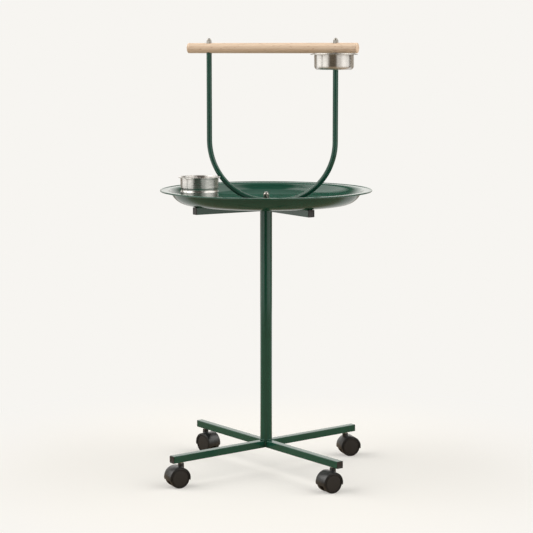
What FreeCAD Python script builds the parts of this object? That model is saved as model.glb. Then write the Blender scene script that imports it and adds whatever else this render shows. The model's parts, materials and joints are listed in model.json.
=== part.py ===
"""Bird T-stand: a seed tray on a post with a castered cross foot and a dowel perch on a bent hoop.

Millimetres, +Z up. The origin lies on the floor under the post, and the perch runs along X.
"""
import FreeCAD, Part
import math
import operator
import os

import Sketcher

SHEET = "Sizes"

# Driving dimensions, in millimetres and degrees.
SIZES = {
    # casters
    "wheel_diameter": 56.0,
    "wheel_width": 13.5,
    "wheel_edge": 2.0,
    "wheel_rim": 4.0,
    "wheel_face": 2.5,
    "wheel_face_step": 0.8,
    "wheel_hub": 14.0,
    "wheel_gap": 0.5,
    "wheel_rib": 1.6,
    "axle_diameter": 6.0,
    "axle_engagement": 9.0,
    "running_clearance": 0.05,
    "caster_height": 70.0,
    "caster_trail": 11.0,
    "hood_gap": 0.8,
    "hood_wall": 2.2,
    "hood_edge": 0.4,
    "hood_skirt_angle": 12.0,
    "swivel_housing": 15.0,
    "neck_diameter": 17.0,
    "swivel_gap": 0.3,
    "socket_depth": 31.0,
    "stem_diameter": 8.0,
    "stem_collar_flats": 11.0,
    "stem_collar": 3.0,
    "stem_tip_gap": 0.4,
    "grip_ring_wire": 1.2,
    "grip_ring_height": 9.0,
    "grip_ring_gap": 0.15,
    "weld_nut_flats": 13.0,
    "weld_nut_height": 6.5,
    "thread_clearance": 0.05,
    "hole_clearance": 0.25,
    # square tube of the two crosses
    "rail_width": 20.0,
    "rail_wall": 1.5,
    "rail_corner": 1.5,
    "rail_corner_inside": 0.5,
    "cap_flange": 2.0,
    "cap_edge": 0.8,
    "cap_plug": 12.0,
    "cap_clearance": 0.1,
    "base_reach": 329.0,
    "base_turn": 58.7,
    "stem_inset": 31.0,
    "support_reach": 232.0,
    "support_turn": 52.9,
    # post
    "post_diameter": 33.7,
    "post_wall": 2.0,
    "post_length": 657.0,
    "plug_clearance": 0.05,
    "foot_flange": 3.0,
    "foot_flange_lip": 1.35,
    "foot_plug": 35.0,
    "head_plug": 30.0,
    "bolt_diameter": 10.0,
    "bolt_head": 10.0,
    "bolt_head_inset": 0.2,
    "bolt_socket_flats": 8.0,
    "bolt_socket": 5.0,
    "bolt_engagement": 27.0,
    "washer_gap": 0.4,
    "washer_thickness": 1.6,
    # tray
    "tray_diameter": 596.9,
    "tray_gauge": 1.2,
    "tray_corner": 52.0,
    "tray_wall_angle": 66.0,
    "tray_bend": 12.0,
    "tray_flange": 16.0,
    "tray_flange_slope": 2.0,
    "tray_bead": 2.2,
    # hoop
    "hoop_diameter": 15.0,
    "hoop_wall": 1.5,
    "hoop_span": 377.0,
    "hoop_height": 421.9,
    "hoop_flat": 39.0,
    "hoop_shift": 16.0,
    "hoop_plug": 22.0,
    "saddle_diameter": 18.0,
    "saddle_crown": 1.6,
    "saddle_skirt": 3.5,
    "saddle_clearance": 0.15,
    "centre_nut_flats": 16.0,
    "centre_nut_hex": 8.0,
    "centre_nut_height": 18.0,
    # perch
    "perch_diameter": 28.6,
    "perch_length": 504.0,
    "perch_end_round": 2.0,
    "perch_seat": 2.5,
    "perch_nut_seat": 1.5,
    "seat_margin": 0.5,
    "stud_diameter": 8.0,
    "stud_engagement": 16.0,
    "perch_nut_flats": 13.0,
    "perch_nut_hex": 6.5,
    "perch_nut_height": 15.0,
    "nut_cap_wall": 2.5,
    # cups and the holder of the hanging one
    "cup_diameter": 107.0,
    "cup_gauge": 0.8,
    "cup_corner": 10.0,
    "cup_lip_bend": 1.5,
    "cup_lip": 2.2,
    "cup_lip_bead": 1.1,
    "perch_cup_depth": 43.0,
    "tray_cup_depth": 72.0,
    "cup_seat_gap": 0.3,
    "holder_band": 8.6,
    "holder_thickness": 2.0,
    "holder_clearance": 0.4,
    "holder_tab_width": 14.0,
    "holder_drop": 4.5,
    "holder_drop_run": 8.0,
    "holder_arm": 16.0,
    "holder_turn": -74.5,
    "tray_cup_overhang": 11.0,
    "tray_cup_turn": 202.85,
    # headings in which the wheels of each caster trail behind its stem
    "heading_back_right": 39.0,
    "heading_back_left": -25.0,
    "heading_front_left": 228.0,
    "heading_front_right": 232.0,
}

# Arm that each caster stands under, counted from base_turn in quarter turns.
CASTERS = {"back_right": 0, "back_left": 1, "front_left": 2, "front_right": 3}

# Arms of a cross that are half rails, butted to the sides of the long one.
HALF_RAILS = {"back_left": 1, "front_right": 3}


class Size:
    """A number together with the sheet expression that gives it."""

    def __init__(self, value, text):
        self.value = value
        self.text = text

    def __add__(self, other):
        return combine(self, other, "+", operator.add)

    def __radd__(self, other):
        return combine(other, self, "+", operator.add)

    def __sub__(self, other):
        return combine(self, other, "-", operator.sub)

    def __rsub__(self, other):
        return combine(other, self, "-", operator.sub)

    def __mul__(self, other):
        return combine(self, other, "*", operator.mul)

    def __rmul__(self, other):
        return combine(other, self, "*", operator.mul)

    def __truediv__(self, other):
        return combine(self, other, "/", operator.truediv)

    def __neg__(self):
        return combine(0, self, "-", operator.sub)


def as_size(number):
    """A plain number as a Size, and a Size as it is."""
    if isinstance(number, Size):
        return number
    return Size(float(number), "(%r)" % number)


def combine(left, right, symbol, function):
    """The Size of two operands joined by an arithmetic symbol."""
    left = as_size(left)
    right = as_size(right)
    return Size(function(left.value, right.value), "(%s %s %s)" % (left.text, symbol, right.text))


def sine(angle):
    """Sine of an angle in degrees."""
    return Size(math.sin(math.radians(angle.value)), "sin(%s)" % angle.text)


def cosine(angle):
    """Cosine of an angle in degrees."""
    return Size(math.cos(math.radians(angle.value)), "cos(%s)" % angle.text)


def root(size):
    """Square root."""
    return Size(math.sqrt(size.value), "sqrt(%s)" % size.text)


def write_sheet(document):
    """Puts the driving dimensions into the sheet and returns them as named Sizes."""
    sheet = document.addObject("Spreadsheet::Sheet", SHEET)
    named = {}
    for row, (name, number) in enumerate(SIZES.items(), start=1):
        sheet.set("A%d" % row, name)
        sheet.set("B%d" % row, str(number))
        sheet.setAlias("B%d" % row, name)
        named[name] = Size(number, "%s.%s" % (SHEET, name))
    document.recompute()
    return named


class Sizes:
    """The driving dimensions as attributes."""

    def __init__(self, named):
        self.__dict__.update(named)


doc = FreeCAD.newDocument("BirdStand")
s = Sizes(write_sheet(doc))
sub_parts = []


# Helpers that draw sketches and add features

def bind(target, name, size):
    """Binds one property of an object to a size."""
    target.setExpression(name, as_size(size).text)


def new_body(name):
    """A sub-part, whose label names its file."""
    body = doc.addObject("PartDesign::Body", name)
    body.Label = name
    sub_parts.append(body)
    return body


def place(body, x=0, y=0, z=0, turn=0):
    """Puts a body at a point of the stand, turned about the vertical."""
    point = "; ".join(as_size(part).text for part in (x, y, z))
    rotation = "rotation(vector(0; 0; 1); %s)" % as_size(turn).text
    body.setExpression("Placement", "placement(vector(%s); %s)" % (point, rotation))


def origin_feature(body, role):
    """One of the body's own origin planes or axes."""
    return next(feature for feature in body.Origin.OriginFeatures if feature.Role == role)


def new_sketch(body, plane, offset=0):
    """An empty sketch on one of the body's origin planes, moved along its normal."""
    sketch = body.newObject("Sketcher::SketchObject", body.Name + "_sketch")
    sketch.AttachmentSupport = [(origin_feature(body, plane), "")]
    sketch.MapMode = "FlatFace"
    bind(sketch, "AttachmentOffset.Base.z", offset)
    return sketch


def dimension(sketch, kind, size, *ends):
    """A dimensional constraint bound to a size."""
    size = as_size(size)
    index = sketch.addConstraint(Sketcher.Constraint(kind, *ends, size.value))
    bind(sketch, "Constraints[%d]" % index, size)


def arc_between(start, end, bend):
    """The shorter arc from start to end; a positive bend turns left, a negative one right."""
    chord = end - start
    half = chord.Length / 2
    left = FreeCAD.Vector(-chord.y, chord.x, 0).normalize()
    rise = math.copysign(math.sqrt(max(bend * bend - half * half, 0.0)), bend)
    centre = (start + end) / 2 + left * rise
    first, last = (start, end) if bend > 0 else (end, start)
    circle = Part.Circle(centre, FreeCAD.Vector(0, 0, 1), abs(bend))
    return Part.ArcOfCircle(circle, circle.parameter(first), circle.parameter(last))


def draw(sketch, corners, closed=True):
    """Lines and arcs through corners (x, y) or (x, y, bend), each place bound to its sizes.

    A corner with a bend is reached by an arc of that radius, and otherwise by a line.
    """
    points = [FreeCAD.Vector(as_size(c[0]).value, as_size(c[1]).value, 0) for c in corners]
    edges = []
    last = len(corners) if closed else len(corners) - 1
    for i in range(last):
        target = corners[(i + 1) % len(corners)]
        start, end = points[i], points[(i + 1) % len(corners)]
        if len(target) == 2:
            edges.append((sketch.addGeometry(Part.LineSegment(start, end)), 1, 2))
            continue
        bend = as_size(target[2])
        edge = sketch.addGeometry(arc_between(start, end, bend.value))
        turns_left = bend.value > 0
        edges.append((edge, 1, 2) if turns_left else (edge, 2, 1))
        dimension(sketch, "Radius", bend if turns_left else -bend, edge)
    for i, (edge, tail, head) in enumerate(edges):
        dimension(sketch, "DistanceX", corners[i][0], -1, 1, edge, tail)
        dimension(sketch, "DistanceY", corners[i][1], -1, 1, edge, tail)
        if i + 1 < len(edges) or closed:
            following = edges[(i + 1) % len(edges)]
            sketch.addConstraint(Sketcher.Constraint("Coincident", edge, head, following[0], following[1]))
    if not closed:
        edge, tail, head = edges[-1]
        dimension(sketch, "DistanceX", corners[-1][0], -1, 1, edge, head)
        dimension(sketch, "DistanceY", corners[-1][1], -1, 1, edge, head)


def draw_circle(sketch, radius, x=0, y=0):
    """A circle about a bound centre."""
    radius = as_size(radius)
    centre = FreeCAD.Vector(as_size(x).value, as_size(y).value, 0)
    edge = sketch.addGeometry(Part.Circle(centre, FreeCAD.Vector(0, 0, 1), radius.value))
    dimension(sketch, "Radius", radius, edge)
    dimension(sketch, "DistanceX", x, -1, 1, edge, 3)
    dimension(sketch, "DistanceY", y, -1, 1, edge, 3)


def draw_square(sketch, width, corner):
    """A square about the sketch's origin with rounded corners."""
    half = width / 2
    flat = half - corner
    draw(sketch, [(flat, -half), (half, -flat, corner), (half, flat), (flat, half, corner),
                  (-flat, half), (-half, flat, corner), (-half, -flat), (-flat, -half, corner)])


def hexagon_radius(flats):
    """Distance from the middle of a hexagon to its corners."""
    return flats / root(as_size(3))


def draw_hexagon(sketch, flats, x=0):
    """A hexagon about a place along X, given across its flats."""
    radius = hexagon_radius(flats)
    half = flats / 2
    draw(sketch, [(x + radius, 0), (x + radius / 2, half), (x - radius / 2, half),
                  (x - radius, 0), (x - radius / 2, -half), (x + radius / 2, -half)])


def pad(body, sketch, length, symmetric=False, reversed_way=False):
    """Extrudes a sketch along its normal."""
    feature = body.newObject("PartDesign::Pad", body.Name + "_pad")
    feature.Profile = sketch
    bind(feature, "Length", length)
    feature.SideType = "Symmetric" if symmetric else "One side"
    feature.Reversed = reversed_way
    return feature


def cut_through(body, sketch, symmetric=False, reversed_way=False):
    """Cuts a sketch through all that lies on one side of it, or on both."""
    feature = body.newObject("PartDesign::Pocket", body.Name + "_cut")
    feature.Profile = sketch
    feature.Type = "ThroughAll"
    feature.SideType = "Symmetric" if symmetric else "One side"
    feature.Reversed = reversed_way
    return feature


def turn(body, sketch, kind="PartDesign::Revolution"):
    """Turns a sketch about its vertical axis, as a solid or, as a groove, as a cut."""
    feature = body.newObject(kind, body.Name + "_turn")
    feature.Profile = sketch
    feature.ReferenceAxis = (sketch, ["V_Axis"])
    feature.Angle = 360
    return feature


def turned_solid(body, corners, plane="XZ_Plane"):
    """A solid turned from an outline given as radius and height."""
    sketch = new_sketch(body, plane)
    draw(sketch, corners)
    return turn(body, sketch)


def repeat_around(body, features, role, count):
    """Copies features in equal steps about one of the body's axes."""
    pattern = body.newObject("PartDesign::PolarPattern", body.Name + "_pattern")
    pattern.Originals = features
    pattern.Axis = (origin_feature(body, role), [""])
    pattern.Angle = 360
    pattern.Occurrences = count
    body.Tip = pattern
    return pattern


# Heights of the stack, from the floor up
wheel_radius = s.wheel_diameter / 2
rail_half = s.rail_width / 2
base_axis_z = s.caster_height + rail_half
base_top_z = s.caster_height + s.rail_width
post_foot_z = base_top_z + s.foot_flange
post_top_z = post_foot_z + s.post_length
support_axis_z = post_top_z + rail_half
tray_z = post_top_z + s.rail_width
tray_floor_z = tray_z + s.tray_gauge
hoop_radius = s.hoop_diameter / 2
hoop_axis_z = tray_floor_z + hoop_radius
hoop_top_z = tray_floor_z + s.hoop_height
saddle_top_z = tray_floor_z + s.hoop_diameter + s.saddle_crown
perch_radius = s.perch_diameter / 2
perch_axis_z = hoop_top_z - s.perch_seat + perch_radius
nut_seat_z = perch_axis_z + perch_radius - s.perch_nut_seat
holder_top_z = hoop_top_z
right_leg_top_z = hoop_top_z - s.holder_thickness
stem_radius_out = s.base_reach - s.stem_inset
washer_radius = rail_half - s.rail_wall - s.washer_gap
leg_offset = s.hoop_span / 2
left_leg_x = s.hoop_shift - leg_offset
right_leg_x = s.hoop_shift + leg_offset


# Crosses of square tube

def rail_section(body, offset=0):
    """Sketch of the square tube's wall, across X."""
    sketch = new_sketch(body, "YZ_Plane", offset)
    draw_square(sketch, s.rail_width, s.rail_corner)
    draw_square(sketch, s.rail_width - 2 * s.rail_wall, s.rail_corner_inside)
    return sketch


def drill_rail(body, places, radius, symmetric):
    """Round holes through the rail's lower wall, or through both walls."""
    sketch = new_sketch(body, "XY_Plane")
    for x in places:
        draw_circle(sketch, radius, x)
    cut_through(body, sketch, symmetric=symmetric)


def build_cross(prefix, reach, turn_angle, axis_z, stem_holes):
    """A cross of one long rail and two half rails butted to its sides, with capped ends."""
    tube_reach = reach - s.cap_flange
    bolt_hole = s.bolt_diameter / 2 + s.hole_clearance
    stem_hole = s.stem_diameter / 2 + s.hole_clearance
    long_rail = new_body(prefix + "_long_rail")
    pad(long_rail, rail_section(long_rail), 2 * tube_reach, symmetric=True)
    drill_rail(long_rail, [as_size(0)], bolt_hole, symmetric=True)
    if stem_holes:
        drill_rail(long_rail, [as_size(0)], washer_radius + s.hole_clearance, symmetric=False)
        drill_rail(long_rail, [-stem_radius_out, stem_radius_out], stem_hole, symmetric=False)
    place(long_rail, z=axis_z, turn=turn_angle)
    for name, quarter in HALF_RAILS.items():
        half_rail = new_body(prefix + "_half_rail_" + name)
        pad(half_rail, rail_section(half_rail, rail_half), tube_reach - rail_half)
        if stem_holes:
            drill_rail(half_rail, [stem_radius_out], stem_hole, symmetric=False)
        place(half_rail, z=axis_z, turn=turn_angle + 90 * quarter)
    build_end_caps(prefix + "_end_caps", tube_reach, turn_angle, axis_z)


def build_end_caps(name, tube_reach, turn_angle, axis_z):
    """Plastic caps plugged into the four ends of a cross, each with a bevelled face."""
    caps = new_body(name)
    bevel_start = tube_reach + s.cap_flange - s.cap_edge
    flange = new_sketch(caps, "YZ_Plane", tube_reach)
    draw_square(flange, s.rail_width, s.rail_corner)
    face = new_sketch(caps, "YZ_Plane", bevel_start)
    draw_square(face, s.rail_width, s.rail_corner)
    plug = new_sketch(caps, "YZ_Plane", tube_reach)
    draw_square(plug, s.rail_width - 2 * (s.rail_wall + s.cap_clearance), s.rail_corner_inside)
    bevel = pad(caps, face, s.cap_edge)
    bevel.TaperAngle = -45
    plate = pad(caps, flange, s.cap_flange - s.cap_edge)
    repeat_around(caps, [bevel, plate, pad(caps, plug, s.cap_plug, reversed_way=True)], "Z_Axis", 4)
    place(caps, z=axis_z, turn=turn_angle)


build_cross("base", s.base_reach, s.base_turn, base_axis_z, stem_holes=True)
build_cross("support", s.support_reach, s.support_turn, support_axis_z, stem_holes=False)


# Casters

axle_radius = s.axle_diameter / 2
hood_inside = wheel_radius + s.hood_gap
hood_outside = hood_inside + s.hood_wall
wheel_inner_y = s.swivel_housing / 2 + s.wheel_gap
hood_width = 2 * (wheel_inner_y + s.wheel_width + s.hood_edge)
neck_top_z = s.caster_height - s.stem_collar - s.swivel_gap
socket_bottom_z = neck_top_z - s.socket_depth
pivot_radius = s.stem_diameter / 2
ring_z = socket_bottom_z + s.grip_ring_height
ring_inside = pivot_radius - s.grip_ring_wire / 2
ring_outside = ring_inside + s.grip_ring_wire
ring_top_z = ring_z + s.grip_ring_wire


def hood_point(radius, angle):
    """Point on a circle about the axle, in the hood's own side view."""
    return s.caster_trail + radius * cosine(angle), wheel_radius + radius * sine(angle)


def build_hood(corner):
    """Moulded hood: a skirt over both wheels, a thick middle wall and the neck with its socket."""
    hood = new_body("caster_hood_" + corner)
    low = -s.hood_skirt_angle
    far = 180 + s.hood_skirt_angle
    crest = as_size(90)
    skirt = new_sketch(hood, "XZ_Plane")
    draw(skirt, [
        hood_point(hood_outside, low), (*hood_point(hood_outside, crest), hood_outside),
        (*hood_point(hood_outside, far), hood_outside), hood_point(hood_inside, far),
        (*hood_point(hood_inside, crest), -hood_inside), (*hood_point(hood_inside, low), -hood_inside)])
    pad(hood, skirt, hood_width, symmetric=True)
    middle = new_sketch(hood, "XZ_Plane")
    between = hood_inside + s.hood_wall / 2
    draw(middle, [hood_point(between, low), (*hood_point(between, crest), between),
                  (*hood_point(between, far), between)])
    pad(hood, middle, s.swivel_housing, symmetric=True)
    neck = new_sketch(hood, "XY_Plane", wheel_radius)
    draw_circle(neck, s.neck_diameter / 2)
    pad(hood, neck, neck_top_z - wheel_radius)
    for side in (-1, 1):
        well = new_sketch(hood, "XZ_Plane", side * s.swivel_housing / 2)
        draw_circle(well, hood_inside, s.caster_trail, wheel_radius)
        cut_through(hood, well, reversed_way=side > 0)
    bore = pivot_radius + s.running_clearance
    relief = ring_outside + s.grip_ring_gap
    low_z = ring_z - s.grip_ring_gap
    high_z = ring_top_z + s.grip_ring_gap
    socket = new_sketch(hood, "XZ_Plane")
    draw(socket, [(0, socket_bottom_z), (bore, socket_bottom_z), (bore, low_z), (relief, low_z),
                  (relief, high_z), (bore, high_z), (bore, neck_top_z), (0, neck_top_z)])
    turn(hood, socket, "PartDesign::Groove")
    cross_hole = new_sketch(hood, "XZ_Plane")
    draw_circle(cross_hole, axle_radius + s.thread_clearance, s.caster_trail, wheel_radius)
    cut_through(hood, cross_hole, symmetric=True)
    return hood


def build_axle(corner):
    """Plain steel pin through the hood's middle wall."""
    axle = new_body("caster_axle_" + corner)
    end = new_sketch(axle, "XZ_Plane")
    draw_circle(end, axle_radius)
    pad(axle, end, 2 * (wheel_inner_y + s.axle_engagement), symmetric=True)
    return axle


def build_wheel(corner, side):
    """Moulded wheel, closed outside and hollow inside, with ribs from the hub to the rim."""
    wheel = new_body("caster_wheel_%s_%s" % (corner, side))
    bore = axle_radius + s.running_clearance
    hub = s.wheel_hub / 2
    inner = wheel_inner_y
    outer = wheel_inner_y + s.wheel_width
    hollow = outer - s.wheel_face
    face = outer - s.wheel_face_step
    rim_inside = wheel_radius - s.wheel_rim
    tread = wheel_radius - s.wheel_edge
    step_radius = tread - s.wheel_face_step
    bore_end = inner + s.axle_engagement + s.wheel_gap
    turned_solid(wheel, [
        (bore, inner), (hub, inner), (hub, hollow), (rim_inside, hollow), (rim_inside, inner),
        (tread, inner), (wheel_radius, inner + s.wheel_edge, s.wheel_edge),
        (wheel_radius, outer - s.wheel_edge), (tread, outer, s.wheel_edge), (step_radius, outer),
        (step_radius - s.wheel_face_step, face), (0, face), (0, bore_end), (bore, bore_end)],
        plane="XY_Plane")
    rib = new_sketch(wheel, "XY_Plane")
    overlap = s.wheel_rib / 2
    draw(rib, [(hub - overlap, inner + s.wheel_edge), (rim_inside + overlap, inner + s.wheel_edge),
               (rim_inside + overlap, hollow + overlap), (hub - overlap, hollow + overlap)])
    repeat_around(wheel, [pad(wheel, rib, s.wheel_rib, symmetric=True)], "Y_Axis", 6)
    return wheel


def build_stem(corner):
    """Threaded stem with a hex collar and a grooved pivot below it."""
    stem = new_body("caster_stem_" + corner)
    tip_z = socket_bottom_z + s.stem_tip_gap
    top_z = s.caster_height + s.rail_wall + s.weld_nut_height + s.stem_collar / 2
    turned_solid(stem, [
        (0, tip_z), (pivot_radius, tip_z), (pivot_radius, ring_z), (ring_inside, ring_z),
        (ring_inside, ring_top_z), (pivot_radius, ring_top_z), (pivot_radius, top_z), (0, top_z)])
    collar = new_sketch(stem, "XY_Plane", s.caster_height)
    draw_hexagon(collar, s.stem_collar_flats)
    pad(stem, collar, s.stem_collar, reversed_way=True)
    return stem


for corner, quarter in CASTERS.items():
    arm_angle = s.base_turn + 90 * quarter
    stem_x = stem_radius_out * cosine(arm_angle)
    stem_y = stem_radius_out * sine(arm_angle)
    trail_heading = getattr(s, "heading_" + corner)
    axle_x = stem_x + s.caster_trail * cosine(trail_heading)
    axle_y = stem_y + s.caster_trail * sine(trail_heading)
    place(build_stem(corner), stem_x, stem_y, turn=arm_angle)
    place(build_hood(corner), stem_x, stem_y, turn=trail_heading)
    place(build_axle(corner), axle_x, axle_y, wheel_radius, trail_heading)
    place(build_wheel(corner, "left"), axle_x, axle_y, wheel_radius, trail_heading)
    place(build_wheel(corner, "right"), axle_x, axle_y, wheel_radius, trail_heading + 180)


def build_grip_rings():
    """Snap rings in the stems' grooves, one under each arm."""
    rings = new_body("caster_grip_rings")
    sketch = new_sketch(rings, "XY_Plane", ring_z + s.thread_clearance)
    draw_circle(sketch, ring_outside, stem_radius_out)
    draw_circle(sketch, ring_inside + s.thread_clearance, stem_radius_out)
    ring = pad(rings, sketch, s.grip_ring_wire - 2 * s.thread_clearance)
    repeat_around(rings, [ring], "Z_Axis", 4)
    place(rings, turn=s.base_turn)


def build_weld_nuts():
    """Hex nuts welded on the arms' lower walls, from inside, for the caster stems."""
    nuts = new_body("caster_weld_nuts")
    sketch = new_sketch(nuts, "XY_Plane")
    draw_hexagon(sketch, s.weld_nut_flats, stem_radius_out)
    draw_circle(sketch, pivot_radius + s.thread_clearance, stem_radius_out)
    repeat_around(nuts, [pad(nuts, sketch, s.weld_nut_height)], "Z_Axis", 4)
    place(nuts, z=s.caster_height + s.rail_wall, turn=s.base_turn)


build_grip_rings()
build_weld_nuts()


# Post with its two threaded plugs and the bolt that holds it to the base

post_radius = s.post_diameter / 2
plug_radius = post_radius - s.post_wall - s.plug_clearance
bolt_radius = s.bolt_diameter / 2
bolt_bore = bolt_radius + s.thread_clearance


def build_post():
    """Round post tube."""
    post = new_body("post")
    ring = new_sketch(post, "XY_Plane")
    draw_circle(ring, post_radius)
    draw_circle(ring, post_radius - s.post_wall)
    pad(post, ring, s.post_length)
    place(post, z=post_foot_z)


def build_post_plugs():
    """Threaded plugs pressed into both ends of the post; the lower one's flange shows as a bead."""
    foot = new_body("post_foot_plug")
    flange_radius = post_radius + s.foot_flange_lip
    bead = s.foot_flange / 2
    turned_solid(foot, [
        (bolt_bore, 0), (flange_radius - bead, 0), (flange_radius, bead, bead),
        (flange_radius - bead, s.foot_flange, bead), (plug_radius, s.foot_flange),
        (plug_radius, s.foot_plug), (bolt_bore, s.foot_plug)])
    place(foot, z=base_top_z)
    head = new_body("post_head_plug")
    turned_solid(head, [
        (bolt_bore, -s.head_plug), (plug_radius, -s.head_plug), (plug_radius, 0), (bolt_bore, 0)])
    place(head, z=post_top_z)


def build_base_bolt():
    """Socket bolt and washer inside the long rail, which pull the post down on the base cross."""
    washer = new_body("base_bolt_washer")
    hole = bolt_radius + s.hole_clearance
    under_wall_z = base_top_z - s.rail_wall
    turned_solid(washer, [(hole, -s.washer_thickness), (washer_radius, -s.washer_thickness),
                          (washer_radius, 0), (hole, 0)])
    place(washer, z=under_wall_z)
    bolt = new_body("base_bolt")
    head_radius = washer_radius - s.bolt_head_inset
    head_z = -s.washer_thickness - s.bolt_head
    tip_z = s.rail_wall + s.bolt_engagement
    turned_solid(bolt, [(0, head_z), (head_radius, head_z), (head_radius, -s.washer_thickness),
                        (bolt_radius, -s.washer_thickness), (bolt_radius, tip_z), (0, tip_z)])
    socket = new_sketch(bolt, "XY_Plane", head_z + s.bolt_socket)
    draw_hexagon(socket, s.bolt_socket_flats)
    cut_through(bolt, socket)
    place(bolt, z=under_wall_z)


build_post()
build_post_plugs()
build_base_bolt()


# Spun sheet: the tray and the two cups

def bead_reach(gauge, bead):
    """Distance from the end of a flange to the middle of the bead rolled from it."""
    return root(bead * bead - gauge * gauge / 4)


def flat_floor(rim, gauge, corner, wall_angle, wall, bend, flange, slope, bead):
    """Radius of a dish's flat floor, counted inwards from the rim that its rolled edge reaches."""
    side = corner * sine(wall_angle) + wall * cosine(wall_angle) + bend * (sine(wall_angle) - sine(slope))
    lip = (flange + bead_reach(gauge, bead)) * cosine(slope) - gauge / 2 * sine(slope) + bead
    return rim - side - lip


def draw_spun_sheet(sketch, hole, rim, gauge, corner, wall_angle, wall, bend, flange, slope, bead):
    """Half section of a round dish of one gauge: floor, rounded corner, wall, flange and rolled edge.

    The floor's underside is at height 0, and the rolled edge reaches the rim radius.
    """
    floor = flat_floor(rim, gauge, corner, wall_angle, wall, bend, flange, slope, bead)
    side = cosine(wall_angle)

    def corner_end(radius):
        return floor + radius * sine(wall_angle), corner - radius * side

    def wall_end(radius):
        x, z = corner_end(radius)
        return x + wall * side, z + wall * sine(wall_angle)

    outer_x, outer_z = wall_end(corner)
    bend_x = outer_x + bend * sine(wall_angle)
    bend_z = outer_z - bend * side

    def bend_end(radius):
        return bend_x - radius * sine(slope), bend_z + radius * cosine(slope)

    def flange_end(radius, along):
        x, z = bend_end(radius)
        return x + along * cosine(slope), z + along * sine(slope)

    inside = corner - gauge
    outside = bend + gauge
    tip = flange_end(bend + gauge / 2, flange + bead_reach(gauge, bead) + bead)
    straight = wall.value > 0
    lower = [(hole, 0), (floor, 0), (*corner_end(corner), corner)]
    upper = [corner_end(inside), (floor, gauge, -inside), (hole, gauge)]
    if straight:
        lower.append(wall_end(corner))
        upper.insert(0, wall_end(inside))
    lower += [(*bend_end(bend), -bend), flange_end(bend, flange), (*tip, bead),
              (*flange_end(outside, flange), bead), bend_end(outside)]
    upper[0] = (*upper[0], outside)
    draw(sketch, lower + upper)


upright = as_size(90)
level = as_size(0)
no_wall = as_size(0)
tray_sheet = (s.tray_diameter / 2, s.tray_gauge, s.tray_corner, s.tray_wall_angle, no_wall, s.tray_bend,
              s.tray_flange, s.tray_flange_slope, s.tray_bead)
cup_radius = s.cup_diameter / 2
holder_hole = cup_radius + s.cup_lip_bend + s.holder_clearance
holder_reach = holder_hole + s.holder_band + s.holder_arm
cup_foot = cup_radius - s.cup_corner
tray_cup_out = flat_floor(*tray_sheet) + s.tray_cup_overhang - cup_foot
nested = s.tray_corner - s.tray_gauge - s.cup_corner
tray_cup_rise = nested - root(nested * nested - s.tray_cup_overhang * s.tray_cup_overhang)
tray_cup_z = tray_floor_z + tray_cup_rise + s.cup_seat_gap


def build_tray():
    """Seed tray, spun from one sheet, with a wide, almost level flange and a rolled edge."""
    tray = new_body("tray")
    sketch = new_sketch(tray, "XZ_Plane")
    draw_spun_sheet(sketch, bolt_radius + s.hole_clearance, *tray_sheet)
    turn(tray, sketch)
    place(tray, z=tray_z)


def build_cup(name, depth, x, y, z):
    """Stainless cup with a rounded bottom edge and a rolled lip."""
    cup = new_body(name)
    sketch = new_sketch(cup, "XZ_Plane")
    wall = depth - s.cup_corner - s.cup_lip_bend
    edge = bead_reach(s.cup_gauge, s.cup_lip_bead) + s.cup_lip_bead
    rim = cup_radius + s.cup_lip_bend + s.cup_lip + edge
    draw_spun_sheet(sketch, 0, rim, s.cup_gauge, s.cup_corner, upright, wall, s.cup_lip_bend, s.cup_lip,
                    level, s.cup_lip_bead)
    turn(cup, sketch)
    place(cup, x, y, z)


def build_cup_holder():
    """Flat ring on a stepped tab, clamped between the right leg of the hoop and the perch."""
    holder = new_body("cup_holder")
    tab_width = s.holder_tab_width
    step = s.hoop_diameter / 2 + s.holder_thickness
    slope_end = step + s.holder_drop_run
    tab_end = s.holder_arm + s.holder_band / 2
    thick = s.holder_thickness
    top = as_size(0)
    low = top - s.holder_drop
    tab = new_sketch(holder, "XZ_Plane")
    draw(tab, [(-tab_width / 2, top - thick), (step, top - thick), (slope_end, low - thick),
               (tab_end, low - thick), (tab_end, low), (slope_end + thick / 2, low),
               (step + thick / 2, top), (-tab_width / 2, top)])
    pad(holder, tab, tab_width, symmetric=True)
    ring = new_sketch(holder, "XY_Plane", low)
    draw_circle(ring, holder_hole + s.holder_band, holder_reach)
    draw_circle(ring, holder_hole, holder_reach)
    pad(holder, ring, thick, reversed_way=True)
    hole = new_sketch(holder, "XY_Plane")
    draw_circle(hole, s.stud_diameter / 2 + s.hole_clearance)
    cut_through(holder, hole, symmetric=True)
    place(holder, right_leg_x, 0, holder_top_z, s.holder_turn)


build_tray()
build_cup("tray_cup", s.tray_cup_depth, tray_cup_out * cosine(s.tray_cup_turn),
          tray_cup_out * sine(s.tray_cup_turn), tray_cup_z)
lip_below_rim = s.cup_lip_bead - s.cup_gauge / 2
perch_cup_z = holder_top_z - s.holder_drop + s.cup_seat_gap + lip_below_rim - s.perch_cup_depth
build_cup("perch_cup", s.perch_cup_depth, right_leg_x + holder_reach * cosine(s.holder_turn),
          holder_reach * sine(s.holder_turn), perch_cup_z)
build_cup_holder()


# Hoop, perch and what bolts them together

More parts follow.
